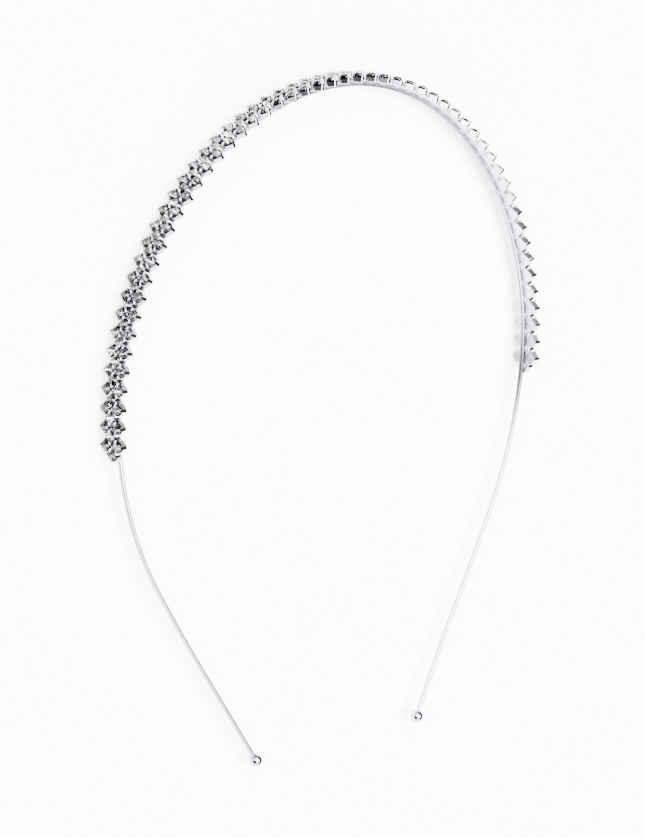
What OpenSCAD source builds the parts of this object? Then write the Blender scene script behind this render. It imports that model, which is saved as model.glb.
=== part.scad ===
// Crystal headband, lying on its side.
// A springy round wire is bent to an arch. Along its crown it carries a band of three staggered rows of
// square claw cups, turned corner to corner and soldered to each other, with a faceted crystal in each cup.
// X runs along the width of the arch, Y up to its crown, and Z across the band from the floor upwards.

/* [Frame wire] */
// Diameter of the round frame wire
wire_d = 1.1; // [0.8:0.1:1.4]
// Length of the frame from the crown to the middle of each ball
wire_reach = 191; // [180:1:200]
// Diameter of the ball on each end of the wire
ball_d = 2.9; // [2.4:0.1:4]
// Room between the wire and the wall of the hole in the ball
ball_fit = 0.05; // [0.03:0.01:0.1]

/* [Crystal band] */
// Crystals in each of the two outer rows; the middle row has one more
row_count = 54; // [20:2:54]
// Distance between neighbouring crystals of a row, along the wire
row_pitch = 3.9; // [3.8:0.05:4]

/* [Claw cup] */
// Side of the square cup
cup_side = 2.5; // [2.45:0.01:2.6]
// How far each corner of the cup is cut back along its sides
corner_cut = 0.22; // [0.15:0.01:0.25]
// Height of the cup from its back to the tips of its claws
cup_h = 2.05; // [2:0.05:2.2]
// Thickness of the back of the cup
back_t = 0.35; // [0.35:0.01:0.4]
// Height of the closed walls of the cup
rim_h = 1.25; // [1.15:0.05:1.3]
// Diameter of the round pocket inside the walls
pocket_d = 2; // [1.95:0.01:2.05]
// Width of the opening between two claws, above each wall
opening_w = 1.9; // [1.85:0.05:1.95]
// Seam between the wire and the backs of the cups
seam = 0.05; // [0.05:0.01:0.1]

/* [Crystal] */
// Diameter of a crystal at its girdle
crystal_d = 2.4; // [2.3:0.02:2.4]
// Diameter of its flat top
table_d = 1.3; // [1.1:0.05:1.5]
// Height of the crown above the girdle
crown_h = 0.5; // [0.4:0.05:0.55]
// Depth of the pointed back below the girdle
pavilion_h = 1.05; // [0.9:0.05:1.1]

/* [Hidden] */
$fn = 64;

// Bends of the frame from the crown down, with the columns length, radius on the left and radius on the
// right. A radius of 0 is a straight run, and a negative one bends outwards. The last row runs to the end.
LENGTH = 0;
LEFT = 1;
RIGHT = 2;
BENDS = [
    [40, 63, 53],
    [40, 72, 64],
    [30, 65, 70],
    [30, 77, 100],
    [25, 600, 600],
    [50, 0, -320],
];

// The wire goes a little past the middle of the ball, and the hole a little past the wire
wire_past_middle = 0.5;
hole_past_wire = 0.1;
// Steps round the wire, and round the full circle of a bend
wire_fn = 64;
arc_fn = 720;
// A short sleeve, hardly wider than the wire, closes the joint between two bends
sleeve_d = wire_d + 0.04;
sleeve_h = 0.4;
wire_half = wire_reach + wire_past_middle;

// Heights above the middle of the wire, along the direction that points out of the arch
cup_base = wire_d / 2 + seam;
cup_top = cup_base + cup_h;

// Across the band
row_offset = row_pitch / 2;
half_corner = cup_side / sqrt(2) - corner_cut / sqrt(2);
half_width = row_offset + half_corner;
middle_count = row_count + 1;

// A cut stone has an eight-sided table, a ring of crown facets and a ring of pavilion facets
FACETS = 8;
// Height of the crystal's edge above the back of the cup
girdle_z = 1.6;
// Each claw is a square post, and widens to a lip that reaches this far over a straight edge of the crystal
lip_over = 0.055;
lip_r = crystal_d / 2 * cos(180 / FACETS) - lip_over;
lip_gap = lip_r * sqrt(2);
lip_rise = 0.2;
lip_z = girdle_z + lip_rise;

// Solder bars in the backs of the middle row reach into the backs of the four cups round each cup
cup_pitch = row_pitch / sqrt(2);
bar_bite = 0.1;
bar_reach = cup_pitch - cup_side / 2 + bar_bite;
bar_w = 1.0;
bar_z = 0.08;
bar_t = 0.24;

// Place and heading after a run of the given length from [x, y, heading] with the given radius
function after_run(from, run, radius) =
    radius == 0
        ? [from.x + run * cos(from.z), from.y + run * sin(from.z), from.z]
        : let (heading = from.z - run / radius * 180 / PI)
          [
              from.x + radius * (sin(from.z) - sin(heading)),
              from.y + radius * (cos(heading) - cos(from.z)),
              heading,
          ];

// Length of the wire from the crown to where bend number i starts
function length_before(i) = i == 0 ? 0 : length_before(i - 1) + BENDS[i - 1][LENGTH];

// Place and heading where bend number i starts
function bend_start(i, side) =
    i == 0 ? [0, 0, 0] : after_run(bend_start(i - 1, side), BENDS[i - 1][LENGTH], BENDS[i - 1][side]);

// Place and heading at the distance s from the crown
function at_distance(s, side, i = 0) =
    s <= BENDS[i][LENGTH] || i == len(BENDS) - 1
        ? after_run(bend_start(i, side), s, BENDS[i][side])
        : at_distance(s - BENDS[i][LENGTH], side, i + 1);

// Place and heading on the whole frame, with s negative on the left, where the shape is mirrored
function on_frame(s) =
    s >= 0
        ? at_distance(s, RIGHT)
        : let (p = at_distance(-s, LEFT)) [-p.x, p.y, -p.z];

// A point given as [along the wire, across the band, out of the arch] at the distance s
function frame_point(s, local) =
    let (p = on_frame(s))
    [
        p.x + local.x * cos(p.z) - local.z * sin(p.z),
        p.y + local.x * sin(p.z) + local.z * cos(p.z),
        local.y,
    ];

// Every cup as [distance along the wire, offset across the band]
outer_cups = [
    for (offset = [-row_offset, row_offset])
    for (i = [0 : row_count - 1]) [(i - (row_count - 1) / 2) * row_pitch, offset]
];
middle_cups = [for (i = [0 : middle_count - 1]) [(i - (middle_count - 1) / 2) * row_pitch, 0]];
all_cups = concat(outer_cups, middle_cups);

// The whole part stands with the middle of its box over the origin and its lowest corners on the floor
crystal_top = cup_base + girdle_z + crown_h;
top_points = [
    for (cup = all_cups)
    for (u = [-1, 1]) frame_point(cup[0], [u * half_corner / 2, 0, max(cup_top, crystal_top)])
];
ball_points = [on_frame(-wire_reach), on_frame(wire_reach)];
box_left = min([for (p = top_points) p.x]);
box_right = max([for (p = top_points) p.x]);
box_back = max([for (p = top_points) p.y]);
box_front = min([for (p = ball_points) p.y]) - ball_d / 2;
to_origin = [-(box_left + box_right) / 2, -(box_front + box_back) / 2, half_width];

// One bend of the wire as a true arc or a straight cylinder
module wire_bend(from, run, radius) {
    if (radius == 0) {
        translate([from.x, from.y, 0])
            rotate([0, 90, from.z])
                cylinder(d = wire_d, h = run);
    } else {
        turn = run / abs(radius) * 180 / PI;
        centre = [from.x + radius * sin(from.z), from.y - radius * cos(from.z), 0];
        first = radius > 0 ? from.z + 90 - turn : from.z - 90;
        translate(centre)
            rotate([0, 0, first])
                rotate_extrude(angle = turn, $fn = arc_fn)
                    translate([abs(radius), 0])
                        circle(d = wire_d, $fn = wire_fn);
    }
}

// Half of the wire, from the crown to one end
module wire_side(side) {
    for (i = [0 : len(BENDS) - 1]) {
        run = i == len(BENDS) - 1 ? wire_half - length_before(i) : BENDS[i][LENGTH];
        from = bend_start(i, side);
        wire_bend(from, run, BENDS[i][side]);
        translate([from.x, from.y, 0])
            rotate([0, 90, from.z])
                cylinder(d = sleeve_d, h = sleeve_h, center = true);
    }
}

module frame_wire() {
    color([0.83, 0.83, 0.86])
        translate(to_origin) {
            wire_side(RIGHT);
            mirror([1, 0, 0])
                wire_side(LEFT);
        }
}

// A ball with a blind hole that the wire's end is fixed in
module ball_tip(side) {
    p = at_distance(wire_reach, side);
    hole_d = wire_d + 2 * ball_fit;
    color([0.86, 0.86, 0.89])
        translate([p.x, p.y, 0])
            rotate([0, 90, p.z])
                difference() {
                    sphere(d = ball_d);
                    translate([0, 0, -ball_d])
                        cylinder(d = hole_d, h = ball_d + wire_past_middle + hole_past_wire);
                }
}

module ball_tip_left() {
    translate(to_origin)
        mirror([1, 0, 0])
            ball_tip(LEFT);
}

module ball_tip_right() {
    translate(to_origin)
        ball_tip(RIGHT);
}

// Puts what is drawn with its back on z = 0 onto the wire, facing out of the arch
module on_wire(cup) {
    p = on_frame(cup[0]);
    translate([p.x, p.y, cup[1]])
        rotate([0, 0, p.z])
            rotate([-90, 45, 0])
                translate([0, 0, cup_base])
                    children();
}

// A square with its corners cut back
module cup_outline() {
    a = cup_side / 2;
    b = a - corner_cut;
    polygon([[a, b], [b, a], [-b, a], [-a, b], [-a, -b], [-b, -a], [b, -a], [a, -b]]);
}

// A bar across the cup from a height upwards, and the same bar at a right angle, for cutting the openings
module cross_cut(width, from, to) {
    for (turn = [0, 90])
        rotate([0, 0, turn])
            translate([-cup_side, -width / 2, from])
                cube([2 * cup_side, width, to - from]);
}

// A square cup with a round pocket. The openings above its walls leave a claw on each corner, and they are
// narrower at the top, which leaves the lips.
module claw_cup() {
    difference() {
        linear_extrude(cup_h)
            cup_outline();
        translate([0, 0, back_t])
            cylinder(d = pocket_d, h = cup_h);
        cross_cut(opening_w, rim_h, lip_z);
        cross_cut(lip_gap, rim_h, 2 * cup_h);
    }
}

// Crossed bars of solder in the back of a middle cup
module solder_cross() {
    for (turn = [0, 90])
        rotate([0, 0, turn])
            translate([-bar_reach, -bar_w / 2, bar_z])
                cube([2 * bar_reach, bar_w, bar_t]);
}

module claw_cups() {
    color([0.78, 0.78, 0.81])
        translate(to_origin) {
            for (cup = outer_cups)
                on_wire(cup)
                    claw_cup();
            for (cup = middle_cups)
                on_wire(cup) {
                    claw_cup();
                    solder_cross();
                }
        }
}

// The points of a crystal are the table ring, the girdle ring and the tip of the back
crystal_points = concat(
    [for (i = [0 : FACETS - 1]) let (a = (i + 0.5) * 360 / FACETS)
        [table_d / 2 * cos(a), table_d / 2 * sin(a), girdle_z + crown_h]],
    [for (i = [0 : FACETS - 1]) let (a = (i + 0.5) * 360 / FACETS)
        [crystal_d / 2 * cos(a), crystal_d / 2 * sin(a), girdle_z]],
    [[0, 0, girdle_z - pavilion_h]]
);
crystal_faces = concat(
    [[for (i = [0 : FACETS - 1]) i]],
    [for (i = [0 : FACETS - 1]) let (n = (i + 1) % FACETS) [i, FACETS + i, FACETS + n, n]],
    [for (i = [0 : FACETS - 1]) let (n = (i + 1) % FACETS) [FACETS + i, 2 * FACETS, FACETS + n]]
);

module crystals() {
    points = [
        for (cup = all_cups)
        for (p = crystal_points) frame_point(cup[0], [p.x, cup[1] + p.y, cup_base + p.z])
    ];
    faces = [
        for (k = [0 : len(all_cups) - 1])
        for (face = crystal_faces) [for (i = face) k * len(crystal_points) + i]
    ];
    color([0.9, 0.93, 0.97])
        translate(to_origin)
            polyhedron(points = points, faces = faces);
}

frame_wire();
ball_tip_left();
ball_tip_right();
claw_cups();
crystals();
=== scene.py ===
import math

import bpy
import numpy as np
from mathutils import Matrix, Vector


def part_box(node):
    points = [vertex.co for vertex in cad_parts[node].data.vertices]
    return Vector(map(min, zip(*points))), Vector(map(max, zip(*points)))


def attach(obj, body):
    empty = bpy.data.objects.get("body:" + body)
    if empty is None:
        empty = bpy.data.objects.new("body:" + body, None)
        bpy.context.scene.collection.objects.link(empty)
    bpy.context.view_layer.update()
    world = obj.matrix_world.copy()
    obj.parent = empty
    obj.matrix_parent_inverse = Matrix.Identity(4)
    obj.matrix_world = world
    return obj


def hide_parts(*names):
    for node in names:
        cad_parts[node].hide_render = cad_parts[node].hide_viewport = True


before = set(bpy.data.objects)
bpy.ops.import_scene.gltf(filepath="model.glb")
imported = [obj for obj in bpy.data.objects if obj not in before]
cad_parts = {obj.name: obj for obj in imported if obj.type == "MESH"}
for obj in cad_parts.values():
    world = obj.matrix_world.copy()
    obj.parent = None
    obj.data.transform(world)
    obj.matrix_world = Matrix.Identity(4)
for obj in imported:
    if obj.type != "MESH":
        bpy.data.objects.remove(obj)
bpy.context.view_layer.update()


# Frame wire
# One length of bright drawn spring-steel wire, bent by hand to an arch, a little tighter on its
# right half. It carries the whole band of cups along its crown, and its bare ends go into the
# ball tips.

# Sizes of the headband are in millimetres, and this turns them into metres
MM = 0.001
WIRE_D = 1.1
# From the crown to the middle of each ball
WIRE_REACH = 191
# The wire ends this far past the middle of the ball
WIRE_PAST_MIDDLE = 0.5
# Bends from the crown down, as length, radius on the left and radius on the right. A radius of 0
# is a straight run and a negative one bends outwards. The last bend runs on to the end.
WIRE_BENDS = (
    (40, 63, 53),
    (40, 72, 64),
    (30, 65, 70),
    (30, 77, 100),
    (25, 600, 600),
    (50, 0, -320),
)
WIRE_STEPS = 900
WIRE_SIDES = 24
# The metal is darker round the right end of the band: the distance from the crown where it is
# darkest, how far that reaches, and the tone of the wire there
END_DARK_MIDDLE = 106
END_DARK_REACH = 13
WIRE_END_TONE = 0.12
# Edges that bend by less than this angle are smooth
SMOOTH_BELOW = math.radians(40)


def bend_wire(distance):
    """Place and heading of the wire's middle at signed distances from the crown, as first bent.

    Each bend turns the heading by its run over its radius, and moves the point along the chord of
    that arc, which points half-way between the two headings. The left side is the same with X and
    the heading turned round.
    """
    side = np.where(distance < 0, -1.0, 1.0)
    left = np.abs(distance).astype(float)
    x, y, heading = np.zeros_like(left), np.zeros_like(left), np.zeros_like(left)
    for number, (length, radius_left, radius_right) in enumerate(WIRE_BENDS):
        run = left if number == len(WIRE_BENDS) - 1 else np.minimum(left, length)
        curve_left = 1 / radius_left if radius_left else 0.0
        curve_right = 1 / radius_right if radius_right else 0.0
        turn = run * np.where(side < 0, curve_left, curve_right)
        chord = run * np.sinc(turn / (2 * np.pi))
        x += chord * np.cos(heading - turn / 2)
        y += chord * np.sin(heading - turn / 2)
        heading = heading - turn
        left = left - run
    return side * x, y, side * heading


def end_dark_tone(distance, darkest):
    """Tone of the metal at signed distances from the crown.

    It is 1 less a bell curve of the distance, which goes down to the darkest tone at its middle.
    """
    return 1 - (1 - darkest) * np.exp(-(((distance - END_DARK_MIDDLE) / END_DARK_REACH) ** 2))


# The left ball of the frame says where the wire's end is, and so where the whole arch is
ball_low, ball_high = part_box("ball_tip_left")
ball_middle = (ball_low + ball_high) / 2 / MM
end_x, end_y, _ = bend_wire(np.array([-float(WIRE_REACH)]))
ARCH_PLACE = np.array([ball_middle.x - end_x[0], ball_middle.y - end_y[0], ball_middle.z])


def put_on_wire(distance, along, across, out):
    """Points beside the wire, at each distance from the crown.

    A point goes along the wire's heading, out of the arch at a right angle to it, and straight
    across the band.
    """
    x, y, heading = bend_wire(distance)
    return np.stack(
        [
            x + along * np.cos(heading) - out * np.sin(heading) + ARCH_PLACE[0],
            y + along * np.sin(heading) + out * np.cos(heading) + ARCH_PLACE[1],
            across + ARCH_PLACE[2] + 0 * x,
        ],
        axis=-1,
    )


def round_turns(count):
    """Angles of a number of even steps round a circle."""
    return np.arange(count) * 2 * np.pi / count


def grid_quads(rows, columns):
    """Faces of a tube of points, row after row, with its last column joined to its first."""
    row, column = np.meshgrid(np.arange(rows - 1), np.arange(columns), indexing="ij")
    low, high = row * columns, (row + 1) * columns
    after = (column + 1) % columns
    quads = np.stack([low + column, low + after, high + after, high + column], axis=-1)
    return quads.reshape(-1, 4).tolist()


def fan(pole, count, start=0):
    """Triangles from a pole to each step of a ring of points, numbered from the start."""
    step = np.arange(count)
    after = (step + 1) % count
    return np.stack([np.full(count, pole), start + step, start + after], -1).tolist()


def add_piece(name, points, faces, material, smooth_below=SMOOTH_BELOW):
    """Makes a piece of the headband from its points, smooth over the edges below an angle."""
    mesh = bpy.data.meshes.new(name)
    mesh.from_pydata((np.asarray(points).reshape(-1, 3) * MM).tolist(), [], faces)
    mesh.polygons.foreach_set("use_smooth", np.ones(len(mesh.polygons), bool))
    mesh.set_sharp_from_angle(angle=smooth_below)
    mesh.materials.append(material)
    mesh.update()
    piece = bpy.data.objects.new(name, mesh)
    bpy.context.scene.collection.objects.link(piece)
    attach(piece, "root")
    return piece


def set_tones(piece, name, tones, where="FACE"):
    """Writes one tone for each face of a piece, or each corner of its faces, for its metal."""
    attribute = piece.data.attributes.new(name, "FLOAT", where)
    attribute.data.foreach_set("value", tones.astype(np.float32))


def new_nodes(tree, *kinds):
    """Adds shader nodes of the given kinds to a node tree."""
    return [tree.nodes.new("ShaderNode" + kind) for kind in kinds]


def set_inputs(node, values):
    """Sets the sockets of a node, given by their names."""
    for name, value in values.items():
        node.inputs[name].default_value = value


def new_material(name):
    """A material, its node tree and its shader."""
    material = bpy.data.materials.new(name)
    material.use_nodes = True
    return material, material.node_tree, material.node_tree.nodes["Principled BSDF"]


def plating_wear_group():
    """Node group for bright plating: handling marks that dull it, and a slight unevenness.

    A coarse noise makes slow patches of duller metal, a fine noise makes tumbled marks, and their
    weighted sum is the mask that comes out. The fine noise is also the height of the marks.
    """
    group = bpy.data.node_groups.new("plating wear", "ShaderNodeTree")
    sockets = group.interface
    for name, value in (("Patch Scale", 150.0), ("Mark Scale", 1500.0), ("Marks", 0.5)):
        socket = sockets.new_socket(name, in_out="INPUT", socket_type="NodeSocketFloat")
        socket.default_value = value
    sockets.new_socket("Vector", in_out="INPUT", socket_type="NodeSocketVector")
    sockets.new_socket("Mask", in_out="OUTPUT", socket_type="NodeSocketFloat")
    sockets.new_socket("Height", in_out="OUTPUT", socket_type="NodeSocketFloat")
    inside, outside = group.nodes.new("NodeGroupInput"), group.nodes.new("NodeGroupOutput")
    patches, marks, blend = new_nodes(group, "TexNoise", "TexNoise", "Mix")
    set_inputs(patches, {"Detail": 3.0})
    set_inputs(marks, {"Detail": 4.0})
    links = group.links
    links.new(inside.outputs["Vector"], patches.inputs["Vector"])
    links.new(inside.outputs["Vector"], marks.inputs["Vector"])
    links.new(inside.outputs["Patch Scale"], patches.inputs["Scale"])
    links.new(inside.outputs["Mark Scale"], marks.inputs["Scale"])
    links.new(inside.outputs["Marks"], blend.inputs["Factor"])
    links.new(patches.outputs["Fac"], blend.inputs["A"])
    links.new(marks.outputs["Fac"], blend.inputs["B"])
    links.new(blend.outputs["Result"], outside.inputs["Mask"])
    links.new(marks.outputs["Fac"], outside.inputs["Height"])
    return group


PLATING_WEAR = plating_wear_group()
# The wear mask where the metal is still clean, and where it is dulled
WEAR_CLEAN = 0.35
WEAR_DULLED = 0.7
WEAR_BUMP = 0.35


def bright_metal(name, clean, dulled, roughness, marks, mark_scale, depth, tone=None):
    """Polished metal that drifts between clean and dulled with the plating wear mask.

    Its colour and its roughness follow the mask. Where the piece has a tone attribute, the colour
    is multiplied by it. The depth of the marks is in metres.
    """
    material, tree, shader = new_material(name)
    set_inputs(shader, {"Metallic": 1.0})
    place, wear, tint, rough, bump = new_nodes(
        tree, "TexCoord", "Group", "ValToRGB", "MapRange", "Bump"
    )
    wear.node_tree = PLATING_WEAR
    set_inputs(wear, {"Mark Scale": mark_scale, "Marks": marks})
    ramp = tint.color_ramp.elements
    ramp[0].position, ramp[0].color = WEAR_CLEAN, (*clean, 1)
    ramp[1].position, ramp[1].color = WEAR_DULLED, (*dulled, 1)
    set_inputs(rough, {"From Min": WEAR_CLEAN, "From Max": WEAR_DULLED})
    set_inputs(rough, {"To Min": roughness[0], "To Max": roughness[1]})
    set_inputs(bump, {"Strength": WEAR_BUMP, "Distance": depth})
    links = tree.links
    links.new(place.outputs["Object"], wear.inputs["Vector"])
    links.new(wear.outputs["Mask"], tint.inputs["Fac"])
    links.new(wear.outputs["Mask"], rough.inputs["Value"])
    links.new(wear.outputs["Height"], bump.inputs["Height"])
    links.new(rough.outputs["Result"], shader.inputs["Roughness"])
    links.new(bump.outputs["Normal"], shader.inputs["Normal"])
    if tone is None:
        links.new(tint.outputs["Color"], shader.inputs["Base Color"])
        return material
    attribute, multiply = new_nodes(tree, "Attribute", "Mix")
    attribute.attribute_name = tone
    multiply.data_type = "RGBA"
    multiply.blend_type = "MULTIPLY"
    multiply.inputs["Factor"].default_value = 1.0
    # Sockets 6 and 7 of a Mix node are its two colours, and its output 2 is the mixed colour
    links.new(tint.outputs["Color"], multiply.inputs[6])
    links.new(attribute.outputs["Color"], multiply.inputs[7])
    links.new(multiply.outputs[2], shader.inputs["Base Color"])
    return material


def frame_wire():
    """A circle carried along the arch: each step has a ring of points, and each end a flat cap."""
    reach = WIRE_REACH + WIRE_PAST_MIDDLE
    distance, turn = np.meshgrid(
        np.linspace(-reach, reach, WIRE_STEPS), round_turns(WIRE_SIDES), indexing="ij"
    )
    radius = WIRE_D / 2
    points = put_on_wire(distance, 0, radius * np.sin(turn), radius * np.cos(turn))
    last = WIRE_STEPS * WIRE_SIDES
    caps = [list(range(WIRE_SIDES))[::-1], list(range(last - WIRE_SIDES, last))]
    steel = bright_metal(
        "bright spring steel",
        clean=(0.43, 0.44, 0.51),
        dulled=(0.34, 0.35, 0.40),
        roughness=(0.22, 0.35),
        marks=0.6,
        mark_scale=900,
        depth=0.00001,
        tone="end_dark_tone",
    )
    faces = grid_quads(WIRE_STEPS, WIRE_SIDES) + caps
    wire = add_piece("spring_wire", points, faces, steel)
    sides = end_dark_tone(distance[:-1].ravel(), WIRE_END_TONE)
    set_tones(wire, "end_dark_tone", np.append(sides, [1, 1]))
    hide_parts("frame_wire")


frame_wire()


# Ball tips
# A small plated brass ball on each end of the wire, turned and drilled, then pressed and fixed
# over the end. The mouth of its hole has a small bevel.

BALL_D = 2.9
BALL_HOLE_D = 1.2
# The hole goes this far past the end of the wire
BALL_HOLE_PAST_WIRE = 0.1
BALL_MOUTH_BEVEL = 0.12
BALL_STEPS = 40
BALL_SIDES = 48


def ball_profile():
    """Outline of the ball from near its closed pole to the floor of its hole.

    It is given as radius and height on the wire's line: a circle up to the mouth, a short bevel,
    and the straight wall of the blind hole.
    """
    radius, hole = BALL_D / 2, BALL_HOLE_D / 2
    mouth = hole + BALL_MOUTH_BEVEL
    angle = np.linspace(0, np.pi - math.asin(mouth / radius), BALL_STEPS)
    bevel_height = -math.sqrt(radius**2 - mouth**2) + BALL_MOUTH_BEVEL
    floor = WIRE_PAST_MIDDLE + BALL_HOLE_PAST_WIRE
    around = np.concatenate([radius * np.sin(angle[1:]), [hole, hole]])
    height = np.concatenate([radius * np.cos(angle[1:]), [bevel_height, floor]])
    return around, height


def ball_tips():
    """The profile turned round the line of the wire, with fans to its pole and to its floor."""
    plating = bright_metal(
        "mirror plated brass",
        clean=(0.36, 0.365, 0.42),
        dulled=(0.30, 0.305, 0.35),
        roughness=(0.03, 0.10),
        marks=0.3,
        mark_scale=900,
        depth=0.000004,
    )
    around, height = ball_profile()
    rings = len(around)
    row, turn = np.meshgrid(np.arange(rings), round_turns(BALL_SIDES), indexing="ij")
    # The two poles are the last points
    pole, floor = rings * BALL_SIDES, rings * BALL_SIDES + 1
    to_pole = [face[::-1] for face in fan(pole, BALL_SIDES)]
    to_floor = fan(floor, BALL_SIDES, start=pole - BALL_SIDES)
    faces = grid_quads(rings, BALL_SIDES) + to_pole + to_floor
    for name, side in (("left", -1), ("right", 1)):
        end = float(side * WIRE_REACH)
        across, out = around[row] * np.cos(turn), side * around[row] * np.sin(turn)
        shell = put_on_wire(np.full(row.shape, end), side * height[row], across, out)
        pole_heights = side * np.array([BALL_D / 2, height[-1]])
        poles = put_on_wire(np.full(2, end), pole_heights, 0, 0)
        points = np.concatenate([shell.reshape(-1, 3), poles])
        ball = add_piece("ball_" + name, points, faces, plating)
        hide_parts("ball_tip_" + name)


ball_tips()


# Claw cups
# Small square cups stamped from brass sheet and plated. Their walls end below the edge of the
# crystal, and a claw on every corner is bent over it. They stand corner to corner in three
# staggered rows, and each sits in the jig with a small error of its own.

ROW_COUNT = 54
ROW_PITCH = 3.9
# Side of the square that the walls would reach at the edge of the crystal
CUP_SIDE = 2.7
# The walls come in to this share of the width of their tops at the foot
CUP_TAPER = 0.943
CUP_BACK_T = 0.35
# From the wire's middle to the backs of the cups
CUP_BASE = 0.6
# The back has a rolled edge this wide
CUP_ROLL = 0.1
# A claw from the top of the walls to its tip, measured from the middle of the cup towards its
# corner: height above the back, then reach and half width of the corner, of the side edges and of
# the inner edge
CLAW_SECTIONS = (
    (1.12, 1.575, 0.185, 1.53, 0.345, 1.345, 0.335),
    (1.84, 1.58, 0.17, 1.52, 0.26, 1.30, 0.19),
    (2.04, 1.20, 0.11, 1.15, 0.15, 0.92, 0.11),
)
# The pocket comes in to this share of its width at its floor
POCKET_TAPER = 0.9
CUP_TURN_ERROR = math.radians(1.8)
CUP_TILT_ERROR = math.radians(1.4)
# No error is more than this many times the usual one
CUP_ERROR_LIMIT = 2
CUP_ERROR_SEED = 11
# The edges of the stamped metal are crisp, so that its walls mirror the room as flat ones do
CUP_SMOOTH_BELOW = math.radians(12)
# Painted shade: the colour of the plating is darkened in the pockets and in the narrow gaps between
# cups, where shade falls, and on the outer side of the corners that point across the band
POCKET_SHADE = 0.35
GAP_SHADE = 0.3
CORNER_SHADE = 0.4
# Tone of the backs at the middle of the darker stretch
BACK_END_TONE = 0.3


def cup_places():
    """Distance along the wire and offset across the band of every cup.

    The two outer rows come first, then the middle one.
    """
    outer = (np.arange(ROW_COUNT) - (ROW_COUNT - 1) / 2) * ROW_PITCH
    middle = (np.arange(ROW_COUNT + 1) - ROW_COUNT / 2) * ROW_PITCH
    distance = np.concatenate([outer, outer, middle])
    offsets = [-ROW_PITCH / 2, ROW_PITCH / 2, 0.0]
    return distance, np.repeat(offsets, [ROW_COUNT, ROW_COUNT, ROW_COUNT + 1])


CUP_DISTANCE, CUP_ACROSS = cup_places()
CUP_COUNT = len(CUP_DISTANCE)
CUP_CHANCES = np.random.default_rng(CUP_ERROR_SEED).normal(size=(CUP_COUNT, 3))
CUP_ERRORS = CUP_CHANCES.clip(-CUP_ERROR_LIMIT, CUP_ERROR_LIMIT) * (
    CUP_TILT_ERROR,
    CUP_TILT_ERROR,
    CUP_TURN_ERROR,
)


def turned(points, turn):
    """Points turned about the line that stands on the middle of the back, by one or more angles."""
    x = points[..., 0] * np.cos(turn) - points[..., 1] * np.sin(turn)
    y = points[..., 0] * np.sin(turn) + points[..., 1] * np.cos(turn)
    return np.stack([x, y, np.broadcast_to(points[..., 2], x.shape)], -1)


def set_in_rows(local, distance, across, errors):
    """Copies of a shape's points at every place of the band, each turned by its small errors.

    A small turn moves a point by the cross product of the turn with the point's place. The shape's
    own second axis points down across the band, so that along, sideways and out are a right-handed
    set.
    """
    points = np.broadcast_to(local, (len(distance), *local.shape[-2:]))
    points = points + np.cross(errors[:, None, :], points)
    along, sideways, out = points[..., 0], points[..., 1], points[..., 2]
    distance = np.broadcast_to(distance[:, None], along.shape)
    return put_on_wire(distance, along, across[:, None] - sideways, out + CUP_BASE)


def repeat_faces(faces, count, points_each):
    """The faces for each copy of a shape, with their point numbers moved on to its points."""
    faces = [np.array(face) for face in faces]
    return [(face + first).tolist() for first in np.arange(count) * points_each for face in faces]


def band(low, high):
    """Faces between two rings of point numbers, the low one and the high one."""
    return np.stack([low, np.roll(low, -1), np.roll(high, -1), high], -1).tolist()


def cup_shape():
    """Points and faces of one cup, with its corners along and across the band.

    Each claw has a six-sided section: two side edges, two corners and two inner edges, which are
    carried up the claw. The outer four go on down the outside of the walls to the rolled edge of
    the back, and the inner two go down the inside of the walls to the floor of the pocket. The
    ring of sixteen outer points goes round by side edge, corner, corner, side edge, so every
    fourth face of the outside is a wall.
    """
    height, corner, corner_w, edge, edge_w, inner, inner_w = np.array(CLAW_SECTIONS).T
    reach = np.stack([edge, corner, corner, edge, inner, inner], -1)[:, None]
    sideways = np.stack([-edge_w, -corner_w, corner_w, edge_w, inner_w, -inner_w], -1)[:, None]
    upward = np.broadcast_to(height[:, None, None], reach.shape)
    claws = turned(np.stack([reach, sideways, upward], -1), round_turns(4)[:, None])
    outside, pocket = claws[0, :, :4].reshape(-1, 3), claws[0][:, [5, 4]].reshape(-1, 3)
    back_share = CUP_TAPER - 2 * CUP_ROLL / CUP_SIDE
    points = np.concatenate(
        [
            claws.reshape(-1, 3),
            outside * (CUP_TAPER, CUP_TAPER, 0) + (0, 0, CUP_ROLL),
            outside * (back_share, back_share, 0),
            pocket * (POCKET_TAPER, POCKET_TAPER, 0) + (0, 0, CUP_BACK_T),
        ]
    )

    claw = np.arange(claws[..., 0].size).reshape(len(height), 4, 6)
    around = np.roll(claw, -1, axis=2)
    top_ring, pocket_ring = claw[0, :, :4].ravel(), claw[0][:, [5, 4]].ravel()
    foot_ring = claw.size + np.arange(16)
    back_ring, floor_ring = foot_ring + 16, claw.size + 32 + np.arange(8)

    faces = np.stack([claw[:-1], around[:-1], around[1:], claw[1:]], -1).reshape(-1, 4).tolist()
    # The corner faces that point across the band, first of the claws and then of the walls
    corners = [(level * 4 + side) * 6 + 1 for level in range(len(height) - 1) for side in (1, 3)]
    faces += claw[-1].tolist()
    corners += [len(faces) + 5, len(faces) + 13]
    walls = len(faces) + np.array([3, 7, 11, 15])
    faces += band(foot_ring, top_ring)
    foot, foot_after = claw[0], np.roll(claw[0], -1, axis=0)
    wall_tops = [foot[:, 3], foot_after[:, 0], foot_after[:, 5], foot[:, 4]]
    faces += np.stack(wall_tops, -1).tolist()
    pocket_faces = len(faces) + np.arange(9)
    faces += [face[::-1] for face in band(floor_ring, pocket_ring)]
    faces.append(floor_ring.tolist())
    back = band(back_ring, foot_ring) + [back_ring[::-1].tolist()]
    return points, faces + back, corners, walls, pocket_faces, len(back)


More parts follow.
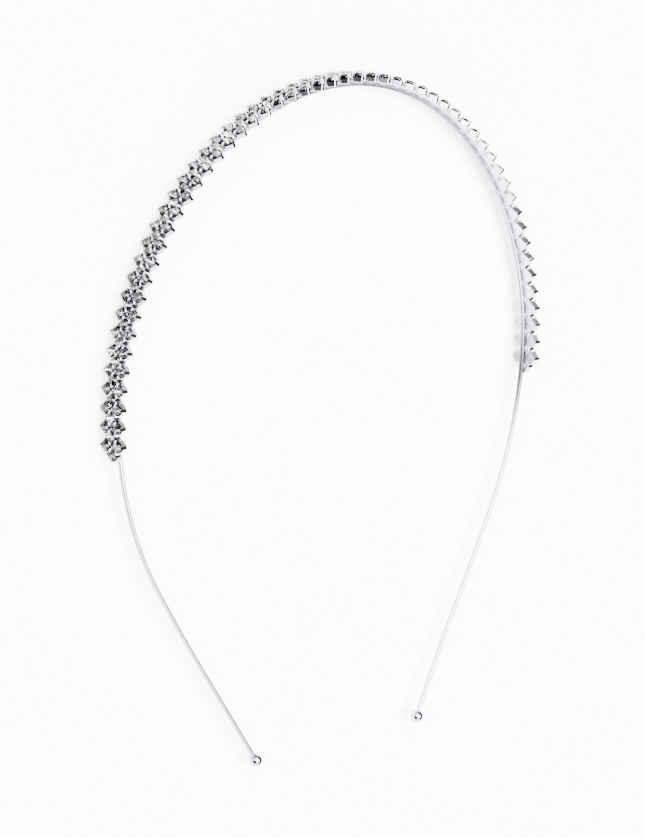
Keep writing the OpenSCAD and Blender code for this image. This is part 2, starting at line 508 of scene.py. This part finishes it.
def cup_shade_tones(face_count, corners, walls, pocket):
    """Painted shade of each face of each cup: dark in the pocket, on the corners across the band,
    and on a wall with a cup beyond it.

    The wall number k faces the place half a pitch on along and across the band, at 45 degrees and
    k quarter turns, and there is a cup if that place is inside the three rows.
    """
    tones = np.ones((CUP_COUNT, face_count))
    # Painted shade, darkening the plating's colour in the pocket, on the corners across the band
    # and on walls that face another cup
    tones[:, pocket] = POCKET_SHADE
    tones[:, corners] = CORNER_SHADE
    turn = np.pi / 4 + round_turns(4)
    beyond = CUP_DISTANCE[:, None] + ROW_PITCH / 2 * np.sign(np.cos(turn))
    beside = CUP_ACROSS[:, None] - ROW_PITCH / 2 * np.sign(np.sin(turn))
    # Half-way from the outer places to the next ones, which are empty
    row_end = (ROW_COUNT + 0.5) * ROW_PITCH / 2
    row_side = ROW_PITCH * 0.75
    inside = (np.abs(beside) < row_side) & (np.abs(beyond) < row_end)
    tones[:, walls] = np.where(inside, GAP_SHADE, 1.0)
    return tones


def satin_back():
    """Plating on the backs of the cups, left satin because it is never polished."""
    return bright_metal(
        "satin plated back",
        clean=(0.62, 0.63, 0.70),
        dulled=(0.52, 0.53, 0.59),
        roughness=(0.45, 0.60),
        marks=0.5,
        mark_scale=2500,
        depth=0.00001,
        tone="shade_and_end_tone",
    )


def claw_cups():
    """All the cups in their rows, as one piece, with satin backs."""
    points, faces, corners, walls, pocket, back_count = cup_shape()
    placed = set_in_rows(points, CUP_DISTANCE, CUP_ACROSS, CUP_ERRORS)
    plating = bright_metal(
        "silver plated brass",
        clean=(0.50, 0.505, 0.56),
        dulled=(0.37, 0.37, 0.40),
        roughness=(0.08, 0.20),
        marks=0.5,
        mark_scale=2500,
        depth=0.00001,
        tone="shade_and_end_tone",
    )
    all_faces = repeat_faces(faces, CUP_COUNT, len(points))
    cups = add_piece("cups", placed, all_faces, plating, CUP_SMOOTH_BELOW)
    # The tone attribute holds the painted shade of each cup face, and the darker backs round the
    # right end of the band
    tones = cup_shade_tones(len(faces), corners, walls, pocket)
    tones[:, -back_count:] = end_dark_tone(CUP_DISTANCE, BACK_END_TONE)[:, None]
    set_tones(cups, "shade_and_end_tone", tones.ravel())
    cups.data.materials.append(satin_back())
    satin = np.tile(np.arange(len(faces)) >= len(faces) - back_count, CUP_COUNT)
    cups.data.polygons.foreach_set("material_index", satin.astype(np.int32))
    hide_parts("claw_cups")


claw_cups()


# Solder
# Silver solder runs from cup to cup under the backs of the middle row, as two crossed bridges in
# each cup, and holds each middle cup on the wire with a small pad. It is a little duller than the
# plating.

BRIDGE_REACH = 1.6
BRIDGE_W = 2.1
# Heights above the back of the cup
BRIDGE_LOW = 0.03
BRIDGE_HIGH = 0.32
PAD_LENGTH = 1.7
PAD_W = 1.5
PAD_H = 0.5
PAD_RINGS = 7
PAD_SIDES = 12


def bridge_shape():
    """Two bars crossed at a right angle, each at 45 degrees to the wire."""
    corners = np.array([[-1, -1], [1, -1], [1, 1], [-1, 1]]) * (BRIDGE_REACH, BRIDGE_W / 2)
    low_and_high = [np.insert(corners, 2, height, axis=1) for height in (BRIDGE_LOW, BRIDGE_HIGH)]
    bar = np.concatenate(low_and_high)
    points = turned(bar, np.radians([45, 135])[:, None]).reshape(-1, 3)
    faces = grid_quads(2, 4) + [[3, 2, 1, 0], [4, 5, 6, 7]]
    return points, repeat_faces(faces, 2, len(bar))


def pad_shape():
    """A flattened ball of solder that fills the corners between the wire and the back of a cup."""
    steps = np.pi * (np.arange(PAD_RINGS) + 1) / (PAD_RINGS + 1)
    down, turn = np.meshgrid(steps, round_turns(PAD_SIDES), indexing="ij")
    ball = np.stack([np.sin(down) * np.cos(turn), np.sin(down) * np.sin(turn), -np.cos(down)], -1)
    ball = np.concatenate([ball.reshape(-1, 3), [[0, 0, -1], [0, 0, 1]]])
    # The two poles are the last points
    pole = PAD_RINGS * PAD_SIDES
    faces = grid_quads(PAD_RINGS, PAD_SIDES) + [face[::-1] for face in fan(pole, PAD_SIDES)]
    faces += fan(pole + 1, PAD_SIDES, start=pole - PAD_SIDES)
    return ball * (PAD_LENGTH / 2, PAD_W / 2, PAD_H / 2), faces


def solder():
    """The bridges and the pads of the middle row."""
    distance, across = CUP_DISTANCE[2 * ROW_COUNT :], CUP_ACROSS[2 * ROW_COUNT :]
    still = np.zeros((len(distance), 3))
    tin = bright_metal(
        "silver solder",
        clean=(0.70, 0.70, 0.73),
        dulled=(0.50, 0.50, 0.54),
        roughness=(0.40, 0.60),
        marks=0.5,
        mark_scale=2500,
        depth=0.00002,
    )
    for name, shape in (("solder_bridges", bridge_shape()), ("solder_pads", pad_shape())):
        points, faces = shape
        placed = set_in_rows(points, distance, across, still)
        all_faces = repeat_faces(faces, len(distance), len(points))
        piece = add_piece(name, placed, all_faces, tin)
        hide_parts("claw_cups")


solder()


# Crystals
# A round cut stone of clear glass in each cup: a flat table, stars, kites and halves on the crown,
# and a pointed back of mains and halves that is foiled, so that it throws the light back out of
# the front.

CRYSTAL_D = 2.34
TABLE_D = 1.3
CUT = 8
# Heights above the back of the cup
POINT_Z = 0.55
GIRDLE_LOW_Z = 1.50
GIRDLE_HIGH_Z = 1.63
TABLE_Z = 2.1
# Where the stars and kites meet on the crown
CROWN_MEET_R = 1.0
# The foil of a facet throws back more or less light by the way that it faces; this is painted
# reflection, one of these tones by chance for each facet of the back, and the stone's edge has a
# tone of its own
FOIL_REFLECTION_TONES = (0.03, 0.035, 0.045, 0.065, 0.09, 0.14, 0.3, 0.9)
EDGE_TONE = 0.14
# Painted highlight and shade: the foil's colour is brightened at the point of the back and fades
# out to the girdle
POINT_HIGHLIGHT = 2.2
GIRDLE_FADE = 0.45
# Low for glass, so that the white floor doesn't wash out the facets
CRYSTAL_IOR = 1.22
CRYSTAL_TURN_SEED = 5
FOIL_SEED = 8


def ring(turn, radius, height):
    """Points of a ring at the given angles."""
    return np.stack([radius * np.cos(turn), radius * np.sin(turn), height + 0 * turn], -1)


def crystal_shape():
    """Points, faces, the number of front faces and the faces of the edge of a round cut.

    The corners of the table and the kites' lower points are in line, and the points where the
    kites meet stand half-way between, at the height that keeps the kites flat. The back has
    sixteen facets from its point up to the girdle, which rises and falls from one to the next.
    """
    half = np.pi / CUT
    main = round_turns(CUT)
    girdle = round_turns(2 * CUT)
    radius, table = CRYSTAL_D / 2, TABLE_D / 2
    crown_share = (CROWN_MEET_R * math.cos(half) - table) / (radius - table)
    crown_meet_z = TABLE_Z + crown_share * (GIRDLE_HIGH_Z - TABLE_Z)
    scallop_z = POINT_Z + (GIRDLE_LOW_Z - POINT_Z) / math.cos(half)
    points = np.concatenate(
        [
            ring(main, table, TABLE_Z),
            ring(main + half, CROWN_MEET_R, crown_meet_z),
            ring(girdle, radius, GIRDLE_HIGH_Z),
            ring(girdle, radius, np.tile([scallop_z, GIRDLE_LOW_Z], CUT)),
            [[0, 0, POINT_Z]],
        ]
    )
    k = np.arange(CUT)
    after, before = (k + 1) % CUT, (k - 1) % CUT
    # Where each ring starts
    meet, high, low, point = CUT, 2 * CUT, 4 * CUT, 6 * CUT
    even, odd, even_after = 2 * k, 2 * k + 1, 2 * after
    front = [k.tolist()]
    front += np.stack([k, meet + k, after], -1).tolist()
    front += np.stack([k, meet + before, high + even, meet + k], -1).tolist()
    front += np.stack([meet + k, high + even, high + odd], -1).tolist()
    front += np.stack([meet + k, high + odd, high + even_after], -1).tolist()
    edge = band(low + np.arange(2 * CUT), high + np.arange(2 * CUT))
    back = [[tip, end, start] for tip, start, end in fan(point, 2 * CUT, start=low)]
    return points, front + edge + back, len(front), range(len(front), len(front) + len(edge))


def crystal_glass():
    """Clear glass, with a trace of dust and handling on its facets."""
    material, tree, shader = new_material("clear cut crystal")
    set_inputs(shader, {"Transmission Weight": 1.0, "IOR": CRYSTAL_IOR})
    place, haze, rough = new_nodes(tree, "TexCoord", "TexNoise", "MapRange")
    set_inputs(haze, {"Scale": 700.0, "Detail": 3.0})
    set_inputs(rough, {"From Min": 0.45, "From Max": 0.75, "To Min": 0.0, "To Max": 0.08})
    tree.links.new(place.outputs["Object"], haze.inputs["Vector"])
    tree.links.new(haze.outputs["Fac"], rough.inputs["Value"])
    tree.links.new(rough.outputs["Result"], shader.inputs["Roughness"])
    return material


def crystal_foil():
    """Silver foil on the back of the stone, slightly uneven, with a painted reflection tone for
    each facet.
    """
    return bright_metal(
        "silver foil",
        clean=(0.86, 0.86, 0.88),
        dulled=(0.60, 0.60, 0.63),
        roughness=(0.02, 0.08),
        marks=0.3,
        mark_scale=1200,
        depth=0.000002,
        tone="facet_reflection_tone",
    )


def crystals():
    """A stone in every cup, turned about its own line by chance, as it falls into the cup."""
    points, faces, front_count, edge = crystal_shape()
    turn = np.random.default_rng(CRYSTAL_TURN_SEED).uniform(0, 2 * np.pi / CUT, CUP_COUNT)
    placed = set_in_rows(turned(points, turn[:, None]), CUP_DISTANCE, CUP_ACROSS, CUP_ERRORS)
    all_faces = repeat_faces(faces, CUP_COUNT, len(points))
    # Every edge of a cut stone is sharp
    stones = add_piece("cut_crystals", placed, all_faces, crystal_glass(), 0.0)
    stones.data.materials.append(crystal_foil())
    foiled = np.tile(np.arange(len(faces)) >= front_count, CUP_COUNT)
    stones.data.polygons.foreach_set("material_index", foiled.astype(np.int32))
    # Painted reflections in the foil's colour: a chance tone for each facet, brightened at the
    # point and faded to the girdle
    tones = np.random.default_rng(FOIL_SEED).choice(FOIL_REFLECTION_TONES, (CUP_COUNT, len(faces)))
    tones[:, edge] = EDGE_TONE
    # The first corner of each facet of the back is its point
    sizes = np.array([len(face) for face in faces])
    fade = np.ones(sizes.sum())
    back_start = sizes[: edge.stop].sum()
    fade[back_start:] = GIRDLE_FADE
    fade[back_start::3] = POINT_HIGHLIGHT
    corner_tones = np.repeat(tones, sizes, axis=1) * fade
    set_tones(stones, "facet_reflection_tone", corner_tones.ravel(), where="CORNER")
    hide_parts("crystals")


crystals()


# Floor, light and camera
# A plain white sheet on a light table, under soft white light from all round, and a camera high on
# the left of the headband, a little beyond its crown, turned so that the crown is at the top of
# the picture.

# In metres
FLOOR_SIZE = 6.0
CAMERA_AT = (-0.51098, 0.19841, 0.56217)
CAMERA_NEAREST = 0.01
# The directions that are right and up in the picture
CAMERA_RIGHT = (0.73013, -0.05003, 0.68147)
CAMERA_UP = (0.20823, 0.96617, -0.15217)
# In millimetres
CAMERA_LENS = 151.2
CAMERA_SENSOR = 36.0
# Strength of the surround between its lamps
STUDIO_DARK = 0.13
# Soft lamps in the surround, each as its direction, the angles from it in degrees where its light
# begins and where it is full, and its strength: a strong one overhead, a low white wall beyond the
# ball tips, two windows beyond the crown, and three faint white cards low down on the right
SOFT_LAMPS = (
    ((0.0, 0.0, 1.0), 32, 26, 30.0),
    ((-0.15, -0.95, 0.28), 37, 27, 8.0),
    ((-0.54, 0.49, 0.69), 31, 12, 16.0),
    ((-0.15, 0.79, 0.595), 15.5, 12, 14.0),
    ((0.20, 0.86, 0.47), 22, 8, 0.5),
    ((0.60, 0.75, 0.27), 11, 4, 0.8),
    ((0.83, 0.54, 0.08), 25, 12, 1.0),
)
# The light table shines through the sheet, which lifts the shadows
TABLE_GLOW = 3.0
WHITE = (1, 1, 1, 1)


def pale_floor():
    """A flat white sheet with a faint unevenness of tone, lit from below."""
    half = FLOOR_SIZE / 2
    mesh = bpy.data.meshes.new("floor")
    corners = [(-half, -half, 0), (half, -half, 0), (half, half, 0), (-half, half, 0)]
    mesh.from_pydata(corners, [], [(0, 1, 2, 3)])
    material, tree, shader = new_material("white sheet")
    set_inputs(shader, {"Roughness": 0.9, "Emission Color": WHITE, "Emission Strength": TABLE_GLOW})
    place, noise, tone = new_nodes(tree, "TexCoord", "TexNoise", "ValToRGB")
    set_inputs(noise, {"Scale": 30.0})
    tone.color_ramp.elements[0].color = (0.93, 0.93, 0.93, 1)
    tone.color_ramp.elements[1].color = (0.96, 0.96, 0.96, 1)
    tree.links.new(place.outputs["Object"], noise.inputs["Vector"])
    tree.links.new(noise.outputs["Fac"], tone.inputs["Fac"])
    tree.links.new(tone.outputs["Color"], shader.inputs["Base Color"])
    mesh.materials.append(material)
    floor = bpy.data.objects.new("floor", mesh)
    bpy.context.scene.collection.objects.link(floor)


def studio_light():
    """A dark surround with soft round lamps in it.

    A lamp's light is a smooth step of the angle to its direction, taken on cosines, and the lamps
    add up.
    """
    world = bpy.data.worlds.new("studio")
    bpy.context.scene.world = world
    world.use_nodes = True
    tree, links = world.node_tree, world.node_tree.links
    background = tree.nodes["Background"]
    direction = new_nodes(tree, "TexCoord")[0].outputs["Generated"]
    strength = None
    for axis, begins, full, power in SOFT_LAMPS:
        cosine, glow, add = new_nodes(tree, "VectorMath", "MapRange", "Math")
        cosine.operation = "DOT_PRODUCT"
        cosine.inputs[1].default_value = Vector(axis).normalized()
        glow.interpolation_type = "SMOOTHSTEP"
        set_inputs(glow, {"From Min": math.cos(math.radians(begins)), "To Max": power})
        set_inputs(glow, {"From Max": math.cos(math.radians(full))})
        links.new(direction, cosine.inputs[0])
        links.new(cosine.outputs["Value"], glow.inputs["Value"])
        links.new(glow.outputs["Result"], add.inputs[0])
        # The first lamp adds to the dark surround, and each other one to the lamps before it
        if strength is None:
            add.inputs[1].default_value = STUDIO_DARK
        else:
            links.new(strength, add.inputs[1])
        strength = add.outputs["Value"]
    set_inputs(background, {"Color": WHITE})
    links.new(strength, background.inputs["Strength"])


def camera():
    """The camera at the photograph's angle."""
    right, up = Vector(CAMERA_RIGHT), Vector(CAMERA_UP)
    turn = Matrix((right, up, right.cross(up))).transposed().to_4x4()
    data = bpy.data.cameras.new("camera")
    data.lens = CAMERA_LENS
    data.sensor_width = CAMERA_SENSOR
    data.clip_start = CAMERA_NEAREST
    view = bpy.data.objects.new("camera", data)
    view.matrix_world = Matrix.Translation(CAMERA_AT) @ turn
    bpy.context.scene.collection.objects.link(view)
    bpy.context.scene.camera = view


pale_floor()
studio_light()
camera()
